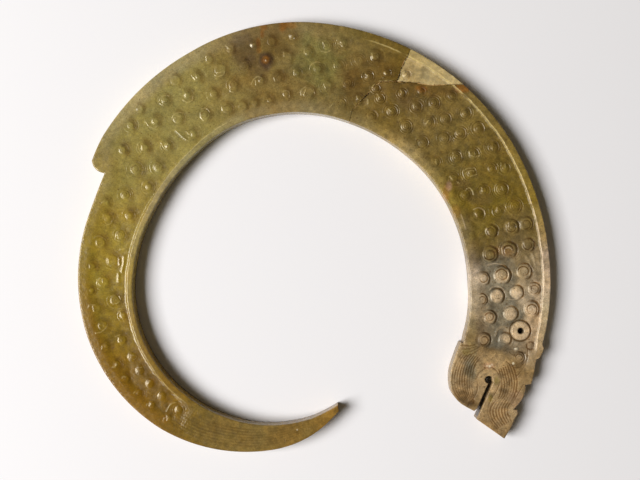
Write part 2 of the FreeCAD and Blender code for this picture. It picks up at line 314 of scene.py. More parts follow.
def corners_of(loop):
    """A loop without repeated points and without points on its straight stretches."""
    apart = np.linalg.norm(loop - np.roll(loop, 1, axis=0), axis=1) > SAME_POINT
    loop = loop[apart]
    back = loop - np.roll(loop, 1, axis=0)
    ahead = np.roll(loop, -1, axis=0) - loop
    cross = back[:, 0] * ahead[:, 1] - back[:, 1] * ahead[:, 0]
    bend = np.abs(cross) / (np.linalg.norm(back, axis=1) * np.linalg.norm(ahead, axis=1))
    return loop[(bend > STRAIGHT_SINE) | ((back * ahead).sum(axis=1) < 0)]


def on_break(loop, others):
    """Which corners of a loop touch another fragment across the adhesive."""
    touching = np.zeros(len(loop), bool)
    for other in others:
        touching |= distance_to(loop, closed(other)) < TOUCHING
    return touching


def finely(loop, broken, spacing):
    """Close points along a loop, round through its gentle corners, and which are on a break."""
    back = loop - np.roll(loop, 1, axis=0)
    ahead = np.roll(loop, -1, axis=0) - loop
    back /= np.linalg.norm(back, axis=1)[:, None]
    ahead /= np.linalg.norm(ahead, axis=1)[:, None]
    gentle = ((back * ahead).sum(axis=1) > GENTLE_COSINE) & ~broken
    points = []
    on_a_break = []
    for index, start in enumerate(loop):
        after = (index + 1) % len(loop)
        chord = loop[after] - start
        length = np.linalg.norm(chord)
        unit = chord / length
        leave = back[index] + ahead[index] if gentle[index] else None
        arrive = back[after] + ahead[after] if gentle[after] else None
        if leave is None:
            leave = unit if arrive is None else 2 * (unit @ arrive) * unit - arrive
        if arrive is None:
            arrive = 2 * (unit @ leave) * unit - leave
        leave = leave / np.linalg.norm(leave) * length
        arrive = arrive / np.linalg.norm(arrive) * length
        steps = max(1, math.ceil(length / spacing))
        for t in np.arange(steps) / steps:
            points.append(
                (2 * t ** 3 - 3 * t ** 2 + 1) * start + (t ** 3 - 2 * t ** 2 + t) * leave
                + (3 * t ** 2 - 2 * t ** 3) * loop[after] + (t ** 3 - t ** 2) * arrive)
            on_a_break.append(bool(broken[index] and broken[after]))
    return np.array(points), np.array(on_a_break)


surfaces = {node: cad_surface(node) for node in FRAGMENTS}
outlines = {node: section(surfaces[node], THICKNESS / 2) for node in FRAGMENTS}
for node, loops in outlines.items():
    loops.sort(key=lambda loop: -abs(area(loop)))
    outlines[node] = [loop if (area(loop) > 0) == (index == 0) else loop[::-1]
                      for index, loop in enumerate(loops)]


def find_bosses():
    """Centre and foot radius of every boss on the front, from its crown's corner."""
    bosses = []
    for node in FRAGMENTS:
        places, triangles = surfaces[node]
        crown = THICKNESS - FIELD_DEPTH + BOSS_HEIGHT
        for corner in np.flatnonzero(np.abs(places[:, 2] - crown) < LEVEL_MARGIN):
            beside = np.unique(triangles[(triangles == corner).any(axis=1)])
            reach = np.linalg.norm(places[beside][:, :2] - places[corner][:2], axis=1)
            bosses.append((*places[corner][:2], np.median(reach[reach > 0]) / BOSS_SHOULDER_SHARE))
    return np.array(bosses)


def field_boundary():
    """The line round the sunk field, as open pieces, from the step's walls."""
    height = THICKNESS - FIELD_DEPTH / 2
    all_outlines = [loop for loops in outlines.values() for loop in loops]
    pieces = []
    for node in FRAGMENTS:
        for loop in section(surfaces[node], height):
            if np.ptp(loop, axis=0).max() < 3 * SUSPENSION_BOSS_RADIUS:
                continue
            off = np.full(len(loop), np.inf)
            for outline in all_outlines:
                off = np.minimum(off, distance_to(loop, closed(outline)))
            on_step = off > TOUCHING
            clear = ~on_step & ~np.roll(on_step, 1)
            start = np.flatnonzero(clear)[0] if clear.any() else 0
            order = np.roll(np.arange(len(loop)), -start)
            piece = []
            for before, here, after in zip(np.roll(order, 1), order, np.roll(order, -1)):
                if on_step[here] or on_step[before] or on_step[after]:
                    piece.append(loop[here])
                elif len(piece) > 1:
                    pieces.append(np.array(piece))
                    piece = []
            if len(piece) > 1:
                pieces.append(np.array(piece))
    return pieces


bosses = find_bosses()
boundary = field_boundary()


# Engraved lines and small ridges, by the pixels that show them


def curve(pixels, spacing=CURVE_SPACING):
    """A smooth line through pixels of the photograph, as close points in millimetres."""
    knots = np.array([spot(*pixel) for pixel in pixels])
    knots = np.vstack([2 * knots[0] - knots[1], knots, 2 * knots[-1] - knots[-2]])
    points = []
    for a, b, c, d in zip(knots, knots[1:], knots[2:], knots[3:]):
        steps = max(2, math.ceil(np.linalg.norm(c - b) / spacing))
        for t in np.arange(steps) / steps:
            points.append(0.5 * (2 * b + (c - a) * t + (2 * a - 5 * b + 4 * c - d) * t ** 2
                                 + (3 * b - a - 3 * c + d) * t ** 3))
    return np.array(points + [knots[-2]])


def pixels_of(row):
    """Pixels from a row that holds x and y of each in turn."""
    return np.array(row, float).reshape(-1, 2)


def fan(first, last, count, spacing=CURVE_SPACING):
    """Lines that pass evenly from one guide line to another with as many points."""
    lines = []
    for share in np.linspace(0, 1, count):
        pixels = [np.array(a) * (1 - share) + np.array(b) * share for a, b in zip(first, last)]
        lines.append(curve(pixels, spacing))
    return lines


JAW_FAN = (
    ((464, 351), (457, 361), (453, 372), (452, 383), (455, 393), (462, 401), (469, 405)),
    ((480, 358), (475, 365), (473, 373), (472, 381), (472, 389), (473, 397), (474, 403)),
)
CHEEK_FAN = (
    ((499, 370), (501, 378), (502, 387), (499, 397), (493, 404), (490, 411), (492, 419),
     (498, 427)),
    ((512, 364), (515, 372), (517, 381), (516, 391), (512, 400), (508, 407), (508, 414),
     (511, 421)),
)
BROW_FAN = (
    ((461, 345), (468, 346), (475, 345)),
    ((464, 357), (472, 354), (482, 348)),
)
LIP_LINES = (
    ((486, 368), (480, 372), (477, 379), (478, 386), (476, 394), (471, 402), (467, 407)),
    ((486, 368), (493, 368), (498, 373), (500, 381), (497, 390), (491, 400), (488, 410), (490, 419),
     (497, 429)),
)
CREST_LINES = (
    ((528, 348), (528, 356), (526, 364), (521, 371), (517, 376)),
    ((523, 385), (518, 394), (512, 404), (508, 411), (507, 418)),
    ((507, 362), (513, 367), (520, 367), (526, 361)),
)
LOWER_LIP_LINE = ((490, 421), (497, 428), (503, 431))
TAIL_FAN = (
    ((186, 410), (205, 420), (230, 427), (256, 430), (284, 427), (306, 420)),
    ((172, 423), (194, 436), (222, 443), (252, 446), (282, 442), (303, 434)),
)
TAIL_END_FAN = (
    ((190, 409), (186, 415), (180, 424)),
    ((197, 413), (192, 420), (187, 429)),
)

# Small ridges: x and y of each pixel in turn
RIDGES = (
    (119, 259, 118.6, 262, 119.3, 264.6), (123.5, 257, 123.3, 264, 121.4, 271.6),
    (118.6, 274.5, 118, 278, 118.3, 281.8), (176, 130, 182, 136, 188, 140, 193, 138),
    (135, 111, 131, 114, 128, 119), (85.5, 288, 87, 291, 88, 295),
    (527, 256, 530, 262, 533, 268, 535.5, 271), (533, 254, 535, 260, 536, 267, 536, 272),
    (480, 288, 478, 294, 480, 301, 484, 305), (496, 336, 498, 330, 503, 327, 508, 329, 510, 333),
)

# Short edges of the curls that catch the light, written in the same way: raised a little, and
# painted pale as painted highlights
GLINT_STROKES = (
    (101.5, 203, 104.5, 201), (103.5, 214.5, 103, 218.5), (107, 224.5, 110.5, 223.5, 112, 220.5),
    (126, 213.5, 125.4, 216, 127.3, 218.8), (118.4, 232.5, 117, 235), (115.8, 234.5, 115.2, 238.5),
    (94, 238, 97, 236, 101, 236.4, 105.5, 239.8), (96.7, 241, 97, 245),
    (119.6, 249.8, 122.4, 249, 125, 248.6), (108, 259, 108.5, 262.3), (89.7, 265, 89.9, 268.7),
    (100.5, 277.7, 97.5, 280.3, 97, 284), (102.5, 279, 102.5, 283),
    (111.4, 299, 111, 301.7, 113.3, 303.8), (119, 296, 120.3, 299, 119, 302.3, 115.8, 303.8),
    (110.7, 296.6, 114.5, 295.2), (88.4, 307.4, 90, 305, 94.8, 304.9), (92.9, 305.5, 94.1, 311.3),
    (120.6, 313, 120.3, 315.7, 122.2, 318.5), (99.9, 324, 98.6, 325.9, 100.5, 328.5),
    (95.4, 332.9, 100.5, 332.3, 105.6, 328.5, 107.5, 324.6), (119, 338, 118.4, 341.2, 119.6, 342.7),
    (115.8, 336.8, 119.6, 334.8), (102.5, 345.5, 102.1, 349.2),
    (127.9, 357.8, 129.5, 355, 133.7, 355.6), (135.6, 355.3, 136.2, 357.8, 133.7, 359.7),
    (112.6, 367.4, 115.2, 367.2, 117.1, 364.2), (136.2, 369.9, 138.8, 368, 141.3, 367.4),
    (122.2, 378.2, 123.5, 376.3, 125.6, 376.9), (113.2, 366.6, 115.8, 366.2, 116.4, 362.8),
    (147.6, 384.4, 150.2, 380.8), (133.6, 393.4, 135, 391.6), (158.2, 396.4, 159.4, 393.8),
    (146.6, 405.6, 147.8, 403.8), (150, 405.8, 151.2, 403.8),
    (166.8, 411.4, 169.4, 406.4, 173, 403.2, 176.2, 402.4),
    (177.4, 406.8, 176.4, 409.2, 178.4, 411.4), (163.4, 420.6, 164.6, 418),
    (167, 420.4, 168.2, 418), (191.9, 75.3, 195, 79.3), (195.7, 73.4, 197, 78),
    (214.8, 75.3, 219.3, 76, 223.8, 74, 224.6, 71.3), (217.4, 72.6, 221.6, 72.2),
    (182.9, 99.5, 187.4, 101.8, 191.9, 100.2, 193.1, 96.4), (185.5, 93, 186, 96),
    (159.3, 100.8, 161.3, 97, 165.7, 95.1, 169.5, 95.7), (160, 103.4, 163.8, 105.3),
    (145.3, 121.2, 149.1, 125.7, 153.6, 127.9, 157.4, 125.7),
    (152.3, 119, 152.5, 121.9, 154.9, 123.3),
    (171.5, 119.3, 173.4, 114.8, 177.8, 112.3, 182.9, 112.3),
    (174.4, 118.5, 177, 116.2, 180.4, 116), (200.8, 112.7, 200.8, 116.8, 203.3, 120.2),
    (201.4, 108.5, 205.9, 107.8, 209.7, 111), (221.8, 106.4, 222.5, 110),
    (186.1, 131.4, 189.3, 134.2), (161.3, 142.7, 163.2, 146.7, 167, 149.5),
    (167.6, 142.7, 167, 147), (138.3, 145.3, 138.9, 149.3, 141.5, 152),
    (142.1, 145.3, 142.1, 149.5), (206.2, 56, 206.9, 60), (225.9, 45.7, 230, 49),
    (283.8, 52, 284.2, 56), (304.5, 48.8, 304.5, 52.9, 308.6, 54), (322.9, 41.4, 324.9, 45.9),
    (321.8, 50.8, 326.9, 51.8, 331, 49.6), (309.6, 68.2, 311.6, 64.1, 316.7, 61.5, 319.8, 62),
    (294.3, 70, 294.3, 74.6), (273.9, 77, 275, 80.6),
    (251.4, 83.5, 253.5, 79.4, 257.6, 76.3, 261.6, 77.3), (255.5, 80, 256, 84.6),
    (230, 85.5, 230.5, 90.6, 233, 91.8), (282, 91.6, 285.6, 90.1, 289.2, 91.6, 289.7, 96.7),
    (301.4, 94.7, 301.4, 89.6, 305.5, 86.5), (304.5, 94, 305.5, 89.4), (313.6, 89.4, 314.8, 93),
    (323.9, 83.3, 325.9, 88.3), (333, 103.7, 330, 107.1), (341.3, 41.5, 342.8, 46),
    (372, 53, 373.4, 58.2), (377.4, 54, 378, 57.6), (334.5, 64, 335.1, 67),
    (365.7, 73.6, 368.3, 75.9), (384.8, 71.7, 386.1, 74.6), (357, 95.5, 357.8, 98.6),
    (368.3, 99, 368.3, 103.3), (377.6, 94, 379.7, 97.2), (371.5, 87.4, 374.8, 83.8),
    (388.7, 108.6, 391.4, 111), (400.6, 89.5, 402.3, 92.6), (414.2, 104, 414.2, 107.8),
    (426.3, 123.6, 428.9, 120.2), (404.8, 71, 405.6, 75.4), (380, 80.7, 386, 80.3, 392, 80.3),
    (453.5, 152.5, 453.7, 155.6), (461.2, 151.3, 462.5, 156.2),
    (469.5, 151.3, 471.5, 155.3, 475.9, 156.7, 481, 154.7), (474.8, 151.5, 475.4, 154.4),
    (492.3, 146.6, 492.8, 150), (436, 159.5, 436.7, 164), (463.8, 170.6, 468.3, 168.1, 474, 168.1),
    (465.7, 173.8, 469.5, 170.6, 474.6, 170.6), (470.8, 176.4, 477.4, 174.2),
    (505.6, 163.2, 505.7, 167.2), (501.4, 162.8, 501.4, 165.8), (450.4, 176.2, 453, 179.8),
    (457.2, 181.4, 459.9, 183.2), (465.7, 190.4, 469.5, 187.8, 472.7, 190.4, 474, 194.4),
    (461.3, 195.4, 462.4, 193), (482.2, 187.4, 482.9, 191.4), (502, 186.4, 503.3, 190),
    (496.8, 184.6, 497.4, 187.6), (474, 209.5, 478.5, 207.6, 482.9, 209.5, 485.5, 213.5),
    (476.2, 213.8, 477.2, 216.8), (497.4, 207.4, 497.4, 210.6), (508.8, 222.6, 509.2, 226.6),
    (486.8, 228.4, 489.3, 234), (461, 214.6, 463.6, 221.4, 465.8, 229),
    (488, 265, 495.7, 263.6, 504.6, 265.5, 509, 273, 507, 281),
    (524, 263.8, 529, 265.5, 531, 270, 530, 275), (533.3, 241.9, 535.3, 244, 535.3, 246.6),
    (490, 290, 493, 287, 498, 286.5, 503, 288.5, 505.5, 293),
    (509.7, 299.3, 516, 299.6, 523.8, 297.4),
    (504.5, 309, 507.5, 306.5, 512, 306, 516.5, 308.5, 518, 313),
    (534.6, 280.8, 538.4, 282.6, 539.7, 286.6), (506.8, 248, 509.8, 247.5, 512.4, 250),
    (528.5, 306.5, 532, 305.8, 535, 308.6),
)
EYE_CORNER_PIXELS = ((513.4, 363.4), (516.9, 349.2))
EAR_RING_PIXEL = (531.0, 346.0)
SLIT_PIXELS = ((487.8, 377.0), (476.4, 412.0))
SLIT_REACH = 1.5

# Fans of engraved lines: their guides, how many lines and how deep they are
FANS = ((JAW_FAN, 9, 0.85), (CHEEK_FAN, 7, 1.0), (BROW_FAN, 4, 0.6), (TAIL_FAN, 7, 0.3),
        (TAIL_END_FAN, 4, 0.3))
SINGLE_LINES = LIP_LINES + CREST_LINES + (LOWER_LIP_LINE,)
SINGLE_LINE_DEPTH = 0.8
fan_grooves = [(line, strength) for guides, count, strength in FANS
               for line in fan(*guides, count)]
fan_rows = [line for guides, count, _ in FANS
            for line in fan(*guides, 2 * count - 1, FAN_ROW_SPACING)]
line_grooves = [(curve(pixels), SINGLE_LINE_DEPTH) for pixels in SINGLE_LINES]
grooves = fan_grooves + line_grooves
ridges = [curve(pixels_of(row)) for row in RIDGES]
glint_strokes = [curve(pixels_of(row), STROKE_SPACING) for row in GLINT_STROKES]


# Relief of a face, below the plane of its rims

HEAD_BEARING = -27.0
NECK_END_BEARING = 12.0
RIGHT_ARM_END_BEARING = 72.0
TAIL_FIELD_BEARING = 203.0

# Curls and moats of the bosses, in shares of a turn or of the radius; starts in degrees
SHADED_SIDE = math.radians(25)
SHADED_ENDS = (-0.4, 0.7)
DOME_ROUNDNESS = 0.85
DOT_ENDS = (0.10, 0.30)
CURL_START = 215
CURL_START_SPREAD = 110
CURL_RISE = (0.0, 0.12)
CURL_END = (0.55, 0.95)
CURL_HALF_WIDTH = 0.12
CURL_DRIFT = 0.14
GROOVE_SHARE = 0.82
GROOVE_DRIFT = 0.45
MOAT_GAP = 0.4
SWIRL_ENDS = (1.2, 2.0)
BOSS_UNEVENNESS = 0.05
RING_GROOVE = (1.06, 0.1)
SUSPENSION_BOSS_ENDS = (0.86, 1.0)

# What changes round the ring: its start, then ramps (from bearing, to bearing, change)
BOSS_HEIGHTS = (1.0, (165, 185, -0.18))
MOAT_FAR_SIDES = (1.0, (66, 84, 1.4), (140, 164, 1.0))
CURL_FADES = (0.0, (66, 84, 0.75))
OUTER_CRISPNESS = (1.0, (60, 82, -1.0))
INNER_CRISPNESS = (0.0, (112, 130, 1.0))
STEP_FADES = (1.0, (-25, -20, -1.0), (226, 234, 1.0))
OUTER_WEAR = (0.0, (84, 108, 0.62))
TAIL_WEAR = (0.0, (204, 228, 0.75))
STROKE_FADES = (1.0, (116, 156, -0.35))
LIP_WIDTHS = (0.25, (90, 130, -0.08))
FLOOR_WAVINESS = (1.0, (100, 140, -0.82), (14, 4, 0.7))
TOOL_MARKS = (0.014, (100, 70, 0.034))
PITTED_BOSSES = (0.0, (14, 4, 0.022))
EDGE_FALLS = (1.0, (130, 165, -0.9), (242, 262, 0.9))

# Layers of unevenness: height, size and what is added to the seed
STEP_WANDER = ((0.10, 2.6, 0), (0.04, 0.9, 1))
FLOOR_WAVES = ((0.045, 1.9, 6), (0.035, 1.0, 7))
SWELL = 0.03
PITS = 0.008
FACE_DROP = 0.03

# Where the wear of the outer rim starts and ends outside the band's middle, where the step
# counts as crisp, where the painted highlight on its lit lip lies and breaks off, and where tool
# marks break off
OUTER_WEAR_ENDS = (-3.5, 5.5)
CRISP_ENDS = (0.9, 0.5)
LIP_PLACE = 0.12
LIP_BREAKS = (-0.55, -0.15)
LIP_GLINT = 1.9
MARK_BREAKS = (-0.5, 0.5)


def boss_form(centre):
    """The form of a boss, as shares of its foot radius and heights in millimetres."""
    bearing = polar(centre[None, :])[0][0]
    chance = [chance_at(centre * 2.7, seed) for seed in (77, 78, 79)]
    form = {"size": 1.0, "height": 0.46, "flat": 3.0, "moat": 0.10, "groove": 0.0, "dot": 0.0,
            "curl": 0.0, "curl_share": 1.0, "moat_width": 0.20, "far": 1.0, "curl_fade": 0.0}
    if bearing < HEAD_BEARING:
        return form
    if bearing < NECK_END_BEARING:
        form.update(size=0.94 + 0.10 * chance[0], height=0.34, flat=4.5, moat=0.11, moat_width=0.20,
                    groove=0.13 if chance[1] > -0.5 else 0.0, dot=0.07)
    elif bearing < RIGHT_ARM_END_BEARING:
        form.update(size=0.70 + 0.12 * chance[0], height=0.22 + 0.05 * chance[1], flat=2.6,
                    moat=0.07, moat_width=0.40, groove=0.09 if chance[1] > -0.2 else 0.03, dot=0.05,
                    curl=0.12, curl_share=1.02 + 0.06 * chance[2])
    elif chance[0] > 0.25:
        form.update(size=0.76 + 0.05 * chance[1], height=0.10, flat=5.0, moat=0.03, moat_width=0.3,
                    curl=0.035, curl_share=1.08)
    elif chance[0] > -0.3:
        form.update(size=0.46 + 0.06 * chance[1], height=0.13, flat=2.2, moat=0.035,
                    moat_width=0.36, curl=0.05, curl_share=0.95)
    else:
        form.update(size=0.62 + 0.06 * chance[1], height=0.12, flat=3.5, moat=0.03, moat_width=0.34,
                    groove=0.03, dot=0.02, curl=0.045, curl_share=1.0)
    form["height"] *= round_ring(BOSS_HEIGHTS, bearing)
    form["far"] = round_ring(MOAT_FAR_SIDES, bearing)
    form["curl_fade"] = round_ring(CURL_FADES, bearing)
    if bearing > TAIL_FIELD_BEARING:
        form.update(size=0.62, height=0.15, flat=2.0, moat=0.03, moat_width=0.3, curl=0.0, dot=0.02)
    return form


def curled_boss(share, bearing, start, hand, form):
    """Height over the floor and depth under it round one boss, by share of its radius."""
    turn = ((bearing - start) * hand / (2 * math.pi)) % 1.0
    present = smoothstep(*CURL_RISE, turn) * (1 - smoothstep(*CURL_END, turn))
    size = form["size"]
    dome = form["height"] * np.clip(1 - (share / size) ** form["flat"], 0, 1) ** DOME_ROUNDNESS
    dome = dome + form["dot"] * (1 - smoothstep(*DOT_ENDS, share))
    shaded = smoothstep(*SHADED_ENDS, np.cos(bearing - SHADED_SIDE))
    curl_line = share - form["curl_share"] + CURL_DRIFT * turn
    curl = form["curl"] * ridge(curl_line, CURL_HALF_WIDTH) * present
    curl = curl * (1 - form["curl_fade"] * shaded)
    past = share - size - MOAT_GAP * form["moat_width"]
    width = form["moat_width"] * np.where(past > 0, form["far"], 1)
    moat = form["moat"] * ridge(past, width) * shaded
    groove_line = share - size * (GROOVE_SHARE - GROOVE_DRIFT * turn)
    groove = form["groove"] * ridge(groove_line, CURL_HALF_WIDTH) * present
    return np.maximum(dome, curl), np.maximum(moat, groove)


def carved_bosses(plot, side):
    """Raised height, cut depth and tool marks of the bosses at each point of a face."""
    points = plot.points
    raised, cut, swirl = np.zeros((3, len(points)))
    for x, y, radius in bosses:
        place = np.array([x, y])
        reach = SWIRL_ENDS[1] * radius
        near = plot.near(place - reach, place + reach)
        away = points[near] - place
        distance = np.hypot(*away.T)
        bearing = np.arctan2(away[:, 1], away[:, 0])
        chance = chance_at(place * 2.3 + side, 5)
        hand = 1 if chance_at(place * 1.7 + side, 9) > -0.1 else -1
        start = math.radians(CURL_START + CURL_START_SPREAD * chance)
        share = distance / radius * (1 + BOSS_UNEVENNESS * grain(points[near], 1.1, 3))
        high, low = curled_boss(share, bearing, start, hand, boss_form(place))
        raised[near] = np.maximum(raised[near], high)
        cut[near] = np.maximum(cut[near], low)
        wave = np.cos(2 * math.pi * distance / SWIRL_SPACING + 6 * chance)
        swirl[near] += wave * (1 - smoothstep(*SWIRL_ENDS, distance / radius))
    return raised, cut, swirl


def carving(plot, side):
    """Raised height, cut depth, tool marks and the glint strokes, raised and painted as highlights,
    at each point of a face.
    """
    points = plot.points
    raised, cut, swirl = carved_bosses(plot, side)
    hole_share = np.hypot(*points.T) / SUSPENSION_BOSS_RADIUS
    boss = SUSPENSION_BOSS_HEIGHT * (1 - smoothstep(*SUSPENSION_BOSS_ENDS, hole_share))
    raised = np.maximum(raised, boss)
    groove_share, groove_width = RING_GROOVE
    groove = RING_DEPTH * ridge(hole_share - groove_share, groove_width)
    cut = np.maximum(cut * (hole_share > 1), groove)
    from_ear = np.hypot(*(points - spot(*EAR_RING_PIXEL)).T)
    cut = np.maximum(cut, RING_DEPTH * ridge(from_ear - EAR_RING_RADIUS, EAR_RING_HALF_WIDTH))
    for corner in EYE_CORNER_PIXELS:
        away = np.hypot(*(points - spot(*corner)).T)
        raised = np.maximum(raised, EYE_CORNER_HEIGHT * ridge(away, EYE_CORNER_RADIUS))
    for line in ridges:
        away = plot.distances(line, RIDGE_HALF_WIDTH)
        raised = np.maximum(raised, RIDGE_HEIGHT * ridge(away, RIDGE_HALF_WIDTH))
    # The glint strokes: a mask that raises them a little and paints them pale as a painted
    # highlight
    glint_marks = np.zeros(len(points))
    for line in glint_strokes if side > 0 else ():
        away = plot.distances(line, STROKE_REACH)
        glint_marks = np.maximum(glint_marks, ridge(away, STROKE_HALF_WIDTH))
    wear = np.clip(0.75 + 0.55 * clouds(points, 3.0, 31), 0.15, 1.2)
    for line, strength in grooves:
        away = plot.distances(line, LINE_HALF_WIDTH)
        depth = LINE_DEPTH * strength * np.clip(1 - away / LINE_HALF_WIDTH, 0, 1)
        cut = np.maximum(cut, depth * wear)
    return raised, cut, swirl, glint_marks


def step_distance(plot, surface, side):
    """Distance from the field's step: above zero on the rims, below zero in the field."""
    places, triangles = surface
    tree = BVHTree.FromPolygons([Vector(place) for place in places], triangles.tolist())
    plane = THICKNESS if side > 0 else 0.0
    above = plane + THICKNESS * side
    way = Vector((0, 0, -side))
    hits = [tree.ray_cast(Vector((x, y, above)), way)[0] for x, y in plot.points]
    rim = np.array([hit is None or abs(hit.z - plane) < 0.02 for hit in hits])
    rim &= np.hypot(plot.points[:, 0], plot.points[:, 1]) > SUSPENSION_BOSS_RADIUS + 0.1
    away = np.min([plot.distances(piece, FADED_STEP + 0.2) for piece in boundary], axis=0)
    return np.where(rim, away, -away)


def step_widths(points):
    """How wide the step down into the field is: crisp where the rim is, ground away elsewhere."""
    bearing, reach = polar(points)
    crisp = np.where(outward_of_middle(bearing, reach) > 0, round_ring(OUTER_CRISPNESS, bearing),
                     round_ring(INNER_CRISPNESS, bearing))
    width = SOFT_STEP + (CRISP_STEP - SOFT_STEP) * crisp
    return width + (FADED_STEP - width) * round_ring(STEP_FADES, bearing)


def field_depth(bearing, reach):
    """How deep the field lies, by how far its rims are worn down."""
    outward = outward_of_middle(bearing, reach)
    worn_down = round_ring(OUTER_WEAR, bearing) * smoothstep(*OUTER_WEAR_ENDS, outward)
    return FIELD_DEPTH * (1 - np.maximum(worn_down, round_ring(TAIL_WEAR, bearing)))


def lit_lip_glint(points, step, bearing, seed):
    """Share of painted highlight along the lit lip of a crisp step, with breaks in it."""
    crisp = smoothstep(*CRISP_ENDS, step_widths(points) / SOFT_STEP)
    lip = ridge(step + LIP_PLACE, round_ring(LIP_WIDTHS, bearing)) * crisp
    return lip * smoothstep(*LIP_BREAKS, grain(points, 2.2, seed + 9))


def uneven(points, bearing, raised, rim, swirl, seed):
    """Unevenness of a face: waves and tool marks on the floor, swell and pits."""
    open_floor = (1 - rim) * (1 - np.clip(raised / 0.1, 0, 1))
    waves = layered(points, FLOOR_WAVES, seed)
    height = open_floor * round_ring(FLOOR_WAVINESS, bearing) * waves
    marks = swirl * smoothstep(*MARK_BREAKS, grain(points, 3.2, seed + 8))
    height += (1 - rim) * round_ring(TOOL_MARKS, bearing) * marks
    height += SWELL * clouds(points, 6.0, seed + 2) * (1 - 0.5 * rim)
    pitted = PITS + round_ring(PITTED_BOSSES, bearing) * np.clip(raised / 0.2, 0, 1)
    return height + pitted * grain(points, 0.6, seed + 4)


def edge_loss(edge, bearing):
    """How far a face lies lower near its edge: the rounded arris and a gentle fall."""
    roll = np.clip(1 - edge / ARRIS_RADIUS, 0, 1)
    fall = EDGE_FALL * round_ring(EDGE_FALLS, bearing)
    return (ARRIS_RADIUS * (1 - np.sqrt(1 - roll ** 2))
            + fall * np.clip(1 - edge / EDGE_FALL_WIDTH, 0, 1) ** 2)


def relief(plot, edge, surface, side):
    """Height of a face against the plane of its rims, and what its colours follow."""
    seed = 20 + 10 * side
    points = plot.points
    bearing, reach = polar(points)
    step = step_distance(plot, surface, side) + layered(points, STEP_WANDER, seed)
    rim = smoothstep(-step_widths(points), 0, step)
    raised, cut, swirl, glint_marks = carving(plot, side)
    raised = raised * (1 - rim)
    height = raised - field_depth(bearing, reach) * (1 - rim) - cut
    height += STROKE_HEIGHT * glint_marks * round_ring(STROKE_FADES, bearing)
    height += uneven(points, bearing, raised, rim, swirl, seed) - FACE_DROP
    height -= edge_loss(edge, bearing)
    # Painted highlight: the lit lip of a crisp step is marked to be painted pale, like the glint
    # strokes
    glint_marks = np.maximum(glint_marks, LIP_GLINT * lit_lip_glint(points, step, bearing, seed))
    hollow = np.clip(cut / LINE_DEPTH, 0, 1)
    return np.minimum(height, 0), np.column_stack([hollow, raised / BOSS_HEIGHT, rim, glint_marks])


# Meshes of the fragments

# What a wall's colours follow: hollow, raised, rim and the glint marks of painted highlight
WALL_TRAITS = (0.0, 0.0, 1.0, 0.0)


def rows_beside(line, offsets, spacing):
    """Points in rows beside a line, evenly spaced along it."""
    along = np.concatenate([[0], np.cumsum(np.linalg.norm(np.diff(line, axis=0), axis=1))])
    places = np.linspace(0, along[-1], max(3, round(along[-1] / spacing)))
    points = np.column_stack([np.interp(places, along, line[:, axis]) for axis in (0, 1)])
    way = np.gradient(points, axis=0)
    way /= np.maximum(np.linalg.norm(way, axis=1), 1e-9)[:, None]
    left = np.column_stack([-way[:, 1], way[:, 0]])
    return np.vstack([points + offset * left for offset in offsets])


def rings_round(x, y, radius, spacing):
    """Points in rings round a boss."""
    rings = [np.array([[x, y]])]
    for distance in np.arange(spacing, BOSS_REACH_SHARE * radius, spacing):
        count = max(6, round(2 * math.pi * distance / (1.8 * spacing)))
        turn = 2 * math.pi * np.arange(count) / count + 7 * distance
        rings.append(np.column_stack([x + distance * np.cos(turn), y + distance * np.sin(turn)]))
    return np.vstack(rings)


def lattice(low, high, spacing):
    """Points of a triangular grid over a box."""
    across, up = np.meshgrid(np.arange(low[0], high[0], spacing),
                             np.arange(low[1], high[1], spacing * math.sqrt(0.75)))
    across[1::2] += spacing / 2
    return np.column_stack([across.ravel(), up.ravel()])


def cell_numbers(points, cell, shift=0.0):
    """One number for the square cell that each point lies in."""
    columns, rows = np.floor(points / cell + shift).astype(np.int64).T
    return columns * 100003 + rows


def thinned(points, cell):
    """The points, first ones first, without those too close to an earlier one."""
    for shift in (0.0, 0.5):
        first = np.unique(cell_numbers(points, cell, shift), return_index=True)[1]
        points = points[np.sort(first)]
    return points


def clear_of(points, taken, cell):
    """The points whose own cell and the eight round it hold none of the points taken."""
    full = np.unique(cell_numbers(taken, cell))
    busy = np.zeros(len(points), bool)
    for across in (-cell, 0, cell):
        for up in (-cell, 0, cell):
            busy |= np.isin(cell_numbers(points + (across, up), cell), full)
    return points[~busy]


def carved_points(side):
    """Points of a whole face: along lines and steps, round bosses, and a lattice between."""
    along = LATTICE_SPACING[side]
    parts = list(fan_rows)
    parts += [rows_beside(line, LINE_ROWS, 0.8 * along) for line, _ in line_grooves]
    parts += [rows_beside(line, LINE_ROWS, along) for line in ridges]
    if side > 0:
        parts += [rows_beside(line, STROKE_ROWS, 0.6 * along) for line in glint_strokes]
    parts += [rows_beside(piece, STEP_ROWS, along) for piece in boundary]
    parts += [rings_round(*boss, RING_SPACING[side]) for boss in bosses]
    parts.append(rings_round(0, 0, SUSPENSION_BOSS_RADIUS, RING_SPACING[side]))
    fine = thinned(np.vstack(parts), THIN_CELL[side])
    every = np.vstack([closed(loops[0]) for loops in outlines.values()])
    filling = lattice(every.min(axis=0), every.max(axis=0), along)
    return np.vstack([fine, clear_of(filling, fine, 0.5 * along)])


